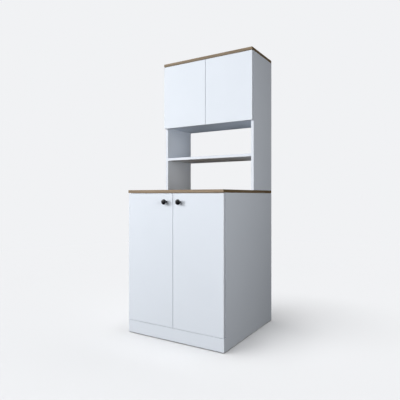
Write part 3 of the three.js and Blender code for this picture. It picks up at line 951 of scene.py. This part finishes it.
for hand in ("left", "right"):
    body = f"lower_{hand}_door"
    node = f"knob_{hand}"
    low, high, middle = measure(node)
    turned = knob_shape((high.z - low.z) / 2, high.y - low.y)
    knob = bmesh.new()
    add_part(knob, turned, Matrix.Translation((middle.x, high.y, middle.z)) @ FACING_FRONT)
    finish_piece(knob, node, body, [black_satin])

    node = f"knob_screw_{hand}"
    low, high, middle = measure(node)
    seat = high.y - SCREW_HEIGHT
    length = seat - low.y
    tip = ((0, 0), (SHANK_RADIUS - SHANK_CHAMFER, 0), (SHANK_RADIUS, SHANK_CHAMFER))
    shank = turn((*tip, (SHANK_RADIUS, length), (0, length)), ROD_STEPS)
    head = screw_head(SCREW_RADIUS, SCREW_HEIGHT)
    screw = bmesh.new()
    add_part(screw, shank, Matrix.Translation((middle.x, low.y, middle.z)) @ FACING_BACK)
    add_part(screw, head, Matrix.Translation((middle.x, seat, middle.z)) @ FACING_BACK)
    finish_piece(screw, node, body, [nickel])
print("Knobs made: 2, each with a screw", round(length / MM, 1), "mm long")

# %% [markdown]
# ## Hinges: the shared frame
# A concealed hinge has an arm on the side panel, a cup in the door and a link between them. There
# are eight, in four mirrored pairs, so each shape is made once in a frame of its own: X runs inboard
# from the side's inner face, Y runs back from the carcass edge, and Z runs up from the middle. A
# matrix then lays it on the left side, and a mirrored one on the right.

# %% Where each hinge sits
SIDE_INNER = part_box("lower_side_right")[0].x
HINGE_WAYS = [(row, hand, end) for row, hand in DOORS for end in ("bottom", "top")]
CARCASS_EDGES = {
    "lower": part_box("lower_side_left")[0].y,
    "upper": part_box("hutch_side_left")[0].y,
}
OUTWARD = {"left": -1, "right": 1}


def hinge_place(row, hand, end):
    """The matrix that lays a hinge's own frame in the cabinet."""
    low, high, middle = measure(f"hinge_link_{row}_{hand}_{end}")
    corner = (OUTWARD[hand] * SIDE_INNER, CARCASS_EDGES[row], middle.z)
    return Matrix.Translation(corner) @ Matrix.Diagonal((-OUTWARD[hand], 1, 1, 1))


def spread_hinges(kind, master, body_of_hinge):
    """Lays a copy of one shape at each hinge and frees it."""
    template = bpy.data.meshes.new(kind)
    master.to_mesh(template)
    master.free()
    for way in HINGE_WAYS:
        row, hand, end = way
        shape = bmesh.new()
        shape.from_mesh(template)
        bmesh.ops.transform(shape, matrix=hinge_place(*way), verts=shape.verts)
        if hand == "right":
            bmesh.ops.reverse_faces(shape, faces=shape.faces)
        body = body_of_hinge.format(row=row, hand=hand)
        finish_piece(shape, f"hinge_{kind}_{row}_{hand}_{end}", body, [nickel])
    print(kind, "made", len(HINGE_WAYS), "times,", len(template.polygons), "faces each")
    bpy.data.meshes.remove(template)


print("Hinge frames:", len(HINGE_WAYS))

# %% [markdown]
# ## Hinge arms
# A real arm is a channel folded from sheet: two cheeks and a back. Its cheeks reach past the carcass
# edge as a fork that holds the pin, and two screws in its back hold and adjust it. It sits on a
# wing-shaped mounting plate with two wood screws. A cheek is one outline, drawn out and bevelled.
# The back is a slab: four cuts mark an oblong in its face, which is sunk and gets round corners.

# %% Values of a hinge arm
ARM_HALF_WIDTH = 7.3 * MM
CHEEK = 2 * MM
ARM_LOW, ARM_HIGH = 3 * MM, 16 * MM
ARM_FROM, ARM_TO = 14 * MM, 60 * MM
PIN_PLACE = (14 * MM, -6.5 * MM)
PIN_RADIUS = 1.3 * MM
NOSE_RADIUS = 2.8 * MM
NOSE_STEPS = 10
SHEET = 1.6 * MM
SHEET_ROUND = 0.3 * MM
SEAT_GAP = 0.3 * MM
POCKET_SPAN = (18 * MM, 54 * MM)
POCKET_HALF, POCKET_DEPTH, POCKET_CORNER = 4 * MM, 0.9 * MM, 3.8 * MM
BLOCK_SPAN, BLOCK_HALF = (26 * MM, 56 * MM), 4.6 * MM
PLATE_TOP, PLATE_SPAN = 2.3 * MM, (22 * MM, 60 * MM)
PLATE_HALF, PLATE_CORNER = 8 * MM, 2 * MM
WING_TOP, WING_SPAN = 2 * MM, (30 * MM, 44 * MM)
WING_HALF, WING_CORNER = 25 * MM, 5.5 * MM
CORNER_STEPS = 5
CAST_ROUND = 0.4 * MM
WING_SCREW, WING_SCREW_SINK, WING_SCREW_HEAD = 16 * MM, 0.4 * MM, (3.4 * MM, 1.6 * MM)
ARM_SCREWS, ARM_SCREW_SINK, ARM_SCREW_HEAD = (24 * MM, 46 * MM), 0.1 * MM, (3 * MM, 0.9 * MM)
print("The arm is", round((ARM_TO - PIN_PLACE[1] + NOSE_RADIUS) / MM, 1), "mm long")

# %% Helpers for slabs and outlines
ALONG_LIMIT = 0.999


def slab(*spans):
    """A box shape between two values on each axis."""
    shape = bmesh.new()
    size = [high - low for low, high in spans]
    centre = [(low + high) / 2 for low, high in spans]
    place = Matrix.Translation(centre) @ Matrix.Diagonal((*size, 1))
    bmesh.ops.create_cube(shape, size=1, matrix=place)
    return shape


def prism(outline, low, high):
    """A shape with a flat outline of (x, y) pairs, drawn out between two heights."""
    shape = bmesh.new()
    face = shape.faces.new([shape.verts.new((x, y, low)) for x, y in outline])
    draw_out(shape, [face], (0, 0, high - low))
    return shape


def edges_along(shape, axis):
    """The straight edges of a shape that run along an axis."""
    found = []
    for edge in shape.edges:
        run = edge.verts[1].co - edge.verts[0].co
        if abs(run[axis]) > ALONG_LIMIT * run.length:
            found.append(edge)
    return found


print("Made the helpers for slabs and outlines")


# %% Parts of a hinge arm
def cheek(low, high):
    """One cheek of the arm, with its round nose."""
    nose = arc(PIN_PLACE, (NOSE_RADIUS, NOSE_RADIUS), 180, 360, NOSE_STEPS)
    lower = [(ARM_LOW, ARM_TO), (ARM_LOW, ARM_FROM)]
    upper = [(ARM_HIGH, ARM_FROM), (ARM_HIGH, ARM_TO)]
    shape = prism(lower + nose + upper, low, high)
    flat = [edge for edge in shape.edges if abs(edge.verts[0].co.z - edge.verts[1].co.z) < WELD]
    round_edges(shape, flat, SHEET_ROUND)
    return shape


def arm_back():
    """The arm's back with an oblong pocket for its two screws."""
    inner = ARM_HALF_WIDTH - CHEEK + SEAT_GAP
    shape = slab((ARM_HIGH - SHEET, ARM_HIGH - ON_PLANE), (ARM_FROM, ARM_TO), (-inner, inner))
    for place in POCKET_SPAN:
        cut_across(shape, Y, place)
    for place in (-POCKET_HALF, POCKET_HALF):
        cut_across(shape, Z, place)
    middle = Vector((ARM_HIGH, sum(POCKET_SPAN) / 2, 0))
    pocket = min(shape.faces, key=lambda face: (face.calc_center_median() - middle).length)
    sunk = draw_out(shape, [pocket], (-POCKET_DEPTH, 0, 0))
    bmesh.ops.delete(shape, geom=[pocket], context="FACES_ONLY")
    corners = [edge for edge in edges_along(shape, X) if any(end in sunk for end in edge.verts)]
    round_edges(shape, corners, POCKET_CORNER, CORNER_STEPS)
    return shape


def rounded_plate(top, span, half, corner):
    """A plate that lies flat on the side panel, with round corners and a softened outline."""
    shape = slab((SEAT_GAP, top), span, (-half, half))
    round_edges(shape, edges_along(shape, X), corner, CORNER_STEPS)
    outline = [edge for edge in shape.edges if lies_on(edge, (X, top, 1))]
    round_edges(shape, outline, CAST_ROUND)
    return shape


print("The arm's back is", round(SHEET / MM, 1), "mm thick")

# %% Make the hinge arms
arm = bmesh.new()
add_part(arm, cheek(ARM_HALF_WIDTH - CHEEK, ARM_HALF_WIDTH))
add_part(arm, cheek(-ARM_HALF_WIDTH, CHEEK - ARM_HALF_WIDTH))
add_part(arm, arm_back())
block = slab((PLATE_TOP - SEAT_GAP, ARM_HIGH - SHEET), BLOCK_SPAN, (-BLOCK_HALF, BLOCK_HALF))
round_edges(block, block.edges[:], CAST_ROUND)
add_part(arm, block)
add_part(arm, rounded_plate(PLATE_TOP, PLATE_SPAN, PLATE_HALF, PLATE_CORNER))
add_part(arm, rounded_plate(WING_TOP, WING_SPAN, WING_HALF, WING_CORNER))
pin = rod(PIN_RADIUS, -ARM_HALF_WIDTH, ARM_HALF_WIDTH)
add_part(arm, pin, Matrix.Translation((*PIN_PLACE, 0)))
for height in (-WING_SCREW, WING_SCREW):
    seat = Matrix.Translation((PLATE_TOP - WING_SCREW_SINK, sum(WING_SPAN) / 2, height))
    add_part(arm, screw_head(*WING_SCREW_HEAD), seat @ FACING_RIGHT)
for depth in ARM_SCREWS:
    seat = Matrix.Translation((ARM_HIGH - POCKET_DEPTH - ARM_SCREW_SINK, depth, 0))
    add_part(arm, screw_head(*ARM_SCREW_HEAD), seat @ FACING_RIGHT)
spread_hinges("arm", arm, "carcass")

# %% [markdown]
# ## Hinge links
# The link is a bent steel strap with an eye at each end. It swings about the arm's pin and carries
# the door by the cup's pin. The strap starts as a line of three points. It is drawn out to its
# width, its bend is bevelled round, and solidify gives it its thickness. The eyes are turned.

# %% Make the hinge links
CUP_PIN_PLACE = (-6 * MM, -5.5 * MM)
ELBOW_PLACE = (0, -9.5 * MM)
LINK_HALF_WIDTH = 5 * MM
LINK_SHEET = 2.6 * MM
LINK_BEND = 2 * MM
RIM_ANGLE = math.radians(60)
EYE_RADIUS = 2.6 * MM
EYE_BORE = 1.6 * MM
EYE_STEPS = 24
STRAP_START = 1.9 * MM


def strap_between(start, elbow, end):
    """A strap as wide as the link, bent at its elbow."""
    shape = bmesh.new()
    lower = Vector((0, 0, -LINK_HALF_WIDTH))
    line = [shape.verts.new(point + lower) for point in (start, elbow, end)]
    sides = [shape.edges.new(pair) for pair in zip(line, line[1:])]
    drawn = bmesh.ops.extrude_edge_only(shape, edges=sides)["geom"]
    moved = [item for item in drawn if isinstance(item, bmesh.types.BMVert)]
    bmesh.ops.translate(shape, verts=moved, vec=(0, 0, 2 * LINK_HALF_WIDTH))
    upright = edges_along(shape, Z)
    bend = [edge for edge in upright if (edge.verts[0].co.xy - elbow.xy).length < WELD]
    round_edges(shape, bend, LINK_BEND, CORNER_STEPS)
    bmesh.ops.recalc_face_normals(shape, faces=shape.faces)
    for corner in shape.verts:
        corner.co += corner.normal * LINK_SHEET / 2
    bmesh.ops.solidify(shape, geom=shape.faces[:], thickness=LINK_SHEET)
    rim = [edge for edge in shape.edges if edge.calc_face_angle(0) > RIM_ANGLE]
    round_edges(shape, rim, SHEET_ROUND)
    return shape


elbow = Vector((*ELBOW_PLACE, 0))
ends = [Vector((*place, 0)) for place in (PIN_PLACE, CUP_PIN_PLACE)]
start, end = [point + (elbow - point).normalized() * STRAP_START for point in ends]
link = bmesh.new()
add_part(link, strap_between(start, elbow, end))
for place in ends:
    lower = [(EYE_BORE, -LINK_HALF_WIDTH), (EYE_RADIUS, -LINK_HALF_WIDTH)]
    upper = [(EYE_RADIUS, LINK_HALF_WIDTH), (EYE_BORE, LINK_HALF_WIDTH)]
    add_part(link, turn(lower + upper + lower[:1], EYE_STEPS), Matrix.Translation(place))
spread_hinges("link", link, "{row}_{hand}_links")

# %% [markdown]
# ## Hinge cups
# The cup is a drawn steel bowl pressed into a bored hole in the door, with a flange whose two ears
# take the screws. The bowl is turned from its wall's section. The flange starts as two circles: some
# points of the outer one are pulled out to an arc as ears, and then the two are bridged and made as
# thick as sheet. The pin across the bowl carries the link.

# %% Make the hinge cups
CUP_AXIS = (5.5 * MM, -2 * MM)
CUP_OUTER, CUP_INNER, CUP_WALL = 17.5 * MM, 16.5 * MM, 17 * MM
CUP_BOTTOM, CUP_FLOOR = -11 * MM, -10 * MM
CUP_ROUND = 1.6 * MM
CUP_STEPS = 48
LIP_TOP, LIP_ROUND = 1.1 * MM, 0.4 * MM
ROUND_STEPS = 4
FLANGE_BOTTOM, FLANGE_SHEET = 0.3 * MM, 0.65 * MM
FLANGE_RADIUS = 18.5 * MM
FLANGE_STEPS = 96
EAR_OFFSET = 6 * MM
EAR_HALF = 6.5 * MM
EAR_REACH = 26 * MM
EAR_SCREW, EAR_SCREW_SEAT, EAR_SCREW_HEAD = 21 * MM, 0.6 * MM, (3.6 * MM, 0.5 * MM)


def cup_bowl():
    """The bowl about the cup's axis, with its mouth up."""
    outer = [(0, CUP_BOTTOM), (CUP_OUTER, CUP_BOTTOM), (CUP_OUTER, LIP_TOP)]
    inner = [(CUP_INNER, LIP_TOP), (CUP_INNER, CUP_FLOOR), (0, CUP_FLOOR)]
    shape = turn(outer + inner, CUP_STEPS)
    round_ring(shape, CUP_OUTER, CUP_BOTTOM, CUP_ROUND, ROUND_STEPS)
    round_ring(shape, CUP_INNER, CUP_FLOOR, CUP_ROUND, ROUND_STEPS)
    round_ring(shape, CUP_INNER, LIP_TOP, LIP_ROUND, ROUND_STEPS - 1)
    return shape


def cup_flange():
    """The flange with its ears. X runs inboard and Y runs up, round the cup's axis."""
    shape = bmesh.new()
    outer = bmesh.ops.create_circle(shape, segments=FLANGE_STEPS, radius=FLANGE_RADIUS)["verts"]
    bmesh.ops.create_circle(shape, segments=FLANGE_STEPS, radius=CUP_WALL)
    for corner in outer:
        across = corner.co.x - EAR_OFFSET
        if abs(across) < EAR_HALF and abs(corner.co.y) > EAR_HALF:
            up = EAR_REACH - EAR_HALF + math.sqrt(EAR_HALF**2 - across**2)
            corner.co.y = math.copysign(up, corner.co.y)
    bmesh.ops.bridge_loops(shape, edges=shape.edges[:])
    draw_out(shape, shape.faces[:], (0, 0, FLANGE_SHEET))
    return shape


cup = bmesh.new()
mouth = Matrix.Translation((*CUP_AXIS, 0)) @ FACING_BACK
add_part(cup, cup_bowl(), mouth)
add_part(cup, cup_flange(), mouth @ Matrix.Translation((0, 0, FLANGE_BOTTOM)))
offset = CUP_AXIS[0] - CUP_PIN_PLACE[0] + PIN_RADIUS
half = math.sqrt(CUP_WALL**2 - offset**2)
add_part(cup, rod(PIN_RADIUS, -half, half), Matrix.Translation((*CUP_PIN_PLACE, 0)))
for height in (-EAR_SCREW, EAR_SCREW):
    seat = Matrix.Translation((CUP_AXIS[0] + EAR_OFFSET, CUP_AXIS[1] + EAR_SCREW_SEAT, height))
    add_part(cup, screw_head(*EAR_SCREW_HEAD), seat @ FACING_BACK)
spread_hinges("cup", cup, "{row}_{hand}_door")

# %% [markdown]
# ## Small fittings
# Most are turned. The clips are a copy of the CAD angle with softened edges, two ribs and four
# screws.

# %% Make the glides
CORNERS = [(end, hand) for end in ("front", "back") for hand in ("left", "right")]
GLIDE_HEIGHT = 4 * MM
GLIDE_ROUND = 1 * MM
GLIDE_STEPS = 40
NAIL_RADIUS = 1.1 * MM
NAIL_HEAD = 2.6 * MM
NAIL_POCKET = 3.2 * MM
NAIL_SINK = 1.2 * MM


def glide_disc(radius):
    """The plastic disc that stands on the floor, with a pocket for the nail's head."""
    pocket = ((0, NAIL_SINK), (NAIL_POCKET, NAIL_SINK), (NAIL_POCKET, 0))
    outline = (*pocket, (radius, 0), (radius, GLIDE_HEIGHT), (0, GLIDE_HEIGHT))
    shape = turn(outline, GLIDE_STEPS)
    round_ring(shape, radius, 0, GLIDE_ROUND, ROUND_STEPS)
    round_ring(shape, radius, GLIDE_HEIGHT, GLIDE_ROUND / 2, ROUND_STEPS - 1)
    return shape


def glide_nail(tip):
    """The nail that holds a glide, up to its tip."""
    low, high = NAIL_SINK / 2, NAIL_SINK + ON_PLANE
    head = ((0, low), (NAIL_HEAD, low), (NAIL_HEAD, high), (NAIL_RADIUS, high))
    return turn((*head, (NAIL_RADIUS, tip - NAIL_RADIUS), (0, tip)), ROD_STEPS)


for end, hand in CORNERS:
    node = f"floor_glide_{end}_{hand}"
    low, high, middle = measure(node)
    place = Matrix.Translation((middle.x, middle.y, 0))
    glide = bmesh.new()
    add_part(glide, glide_disc((high.x - low.x) / 2), place)
    add_part(glide, glide_nail(high.z), place, 1)
    finish_piece(glide, node, "carcass", [grey_moulded, nickel])
print("Glides made:", len(CORNERS))

# %% Make the plinth clips
CLIP_EDGE = 0.5 * MM
CLIP_LEG = 2.5 * MM
RIB_PLACES = (10 * MM, 30 * MM)
RIB_HALF = 0.9 * MM
RIB_REACH = 9 * MM
CLIP_SCREW_HEIGHTS = (5 * MM, 35 * MM)
CLIP_SCREW_FROM_CORNER = 9.2 * MM
CLIP_SCREW = (2.6 * MM, 1.2 * MM)
FACING_INWARD = {"left": FACING_RIGHT, "right": FACING_LEFT}

for hand, outward in OUTWARD.items():
    node = f"plinth_clip_{hand}"
    low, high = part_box(node)
    clip = copy_of(node)
    round_edges(clip, clip.edges[:], CLIP_EDGE)
    corner = Vector((high.x if outward > 0 else low.x, low.y, low.z))
    place = Matrix.Translation(corner) @ Matrix.Diagonal((-outward, 1, 1, 1))
    near = CLIP_LEG - CLIP_EDGE / 2
    far = near + RIB_REACH
    for rise in RIB_PLACES:
        rib = prism(((near, near), (far, near), (near, far)), rise - RIB_HALF, rise + RIB_HALF)
        round_edges(rib, rib.edges[:], RIB_HALF / 3)
        add_part(clip, rib, place)
    for rise in CLIP_SCREW_HEIGHTS:
        at_side = corner + Vector((-outward * CLIP_LEG, CLIP_SCREW_FROM_CORNER, rise))
        at_plinth = corner + Vector((-outward * CLIP_SCREW_FROM_CORNER, CLIP_LEG, rise))
        for seat, facing in ((at_side, FACING_INWARD[hand]), (at_plinth, FACING_BACK)):
            add_part(clip, screw_head(*CLIP_SCREW), Matrix.Translation(seat) @ facing, 1)
    finish_piece(clip, node, "carcass", [grey_moulded, nickel])
print("Plinth clips made:", len(OUTWARD))

# %% Make the shelf pins
PIN_SINK = 8 * MM
PIN_SHANK = 2.5 * MM
PIN_STUB = 3.5 * MM
PIN_WAIST = 3.1 * MM
PIN_COLLAR = 1 * MM
SHELF_PIN_STEPS = 24


def shelf_pin(length):
    """A turned pin with a collar against the side panel and a waisted stub."""
    half = PIN_COLLAR / 2
    collar = PIN_SINK + SEAT_GAP
    waist_from, waist_to = collar + PIN_COLLAR + half, length - PIN_COLLAR - half
    shank = ((0, 0), (PIN_SHANK - half, 0), (PIN_SHANK, half), (PIN_SHANK, collar))
    stub = ((PIN_STUB, collar), (PIN_STUB, collar + PIN_COLLAR))
    waist = ((PIN_WAIST, waist_from), (PIN_WAIST, waist_to))
    bulge = ((PIN_STUB, length - PIN_COLLAR), (PIN_STUB, length - half))
    end = ((PIN_STUB - half, length), (0, length))
    return turn((*shank, *stub, *waist, *bulge, *end), SHELF_PIN_STEPS)


for end, hand in CORNERS:
    node = f"shelf_pin_{end}_{hand}"
    low, high, middle = measure(node)
    outer = high.x if hand == "right" else low.x
    place = Matrix.Translation((outer, middle.y, middle.z)) @ FACING_INWARD[hand]
    pin = bmesh.new()
    add_part(pin, shelf_pin(high.x - low.x), place)
    finish_piece(pin, node, "carcass", [nickel])
print("Shelf pins made:", len(CORNERS))

# %% Make the bumpers
BUMPER_STEPS = 32
DOME_STEPS = 8
BUMPER_FULLNESS = 0.6

for row, hand in DOORS:
    node = f"{row}_bumper_{hand}"
    low, high, middle = measure(node)
    radius, height = (high.x - low.x) / 2, high.y - low.y
    outline = [(0, 0), (radius, 0)]
    for step in range(1, DOME_STEPS + 1):
        angle = math.radians(90) * step / DOME_STEPS
        outline.append((radius * math.cos(angle) ** BUMPER_FULLNESS, height * math.sin(angle)))
    outline[-1] = (0, height)
    place = Matrix.Translation((middle.x, low.y, middle.z)) @ FACING_BACK
    bumper = bmesh.new()
    add_part(bumper, turn(outline, BUMPER_STEPS), place)
    finish_piece(bumper, node, f"{row}_{hand}_door", [clear_soft])
print("Bumpers made:", len(DOORS))
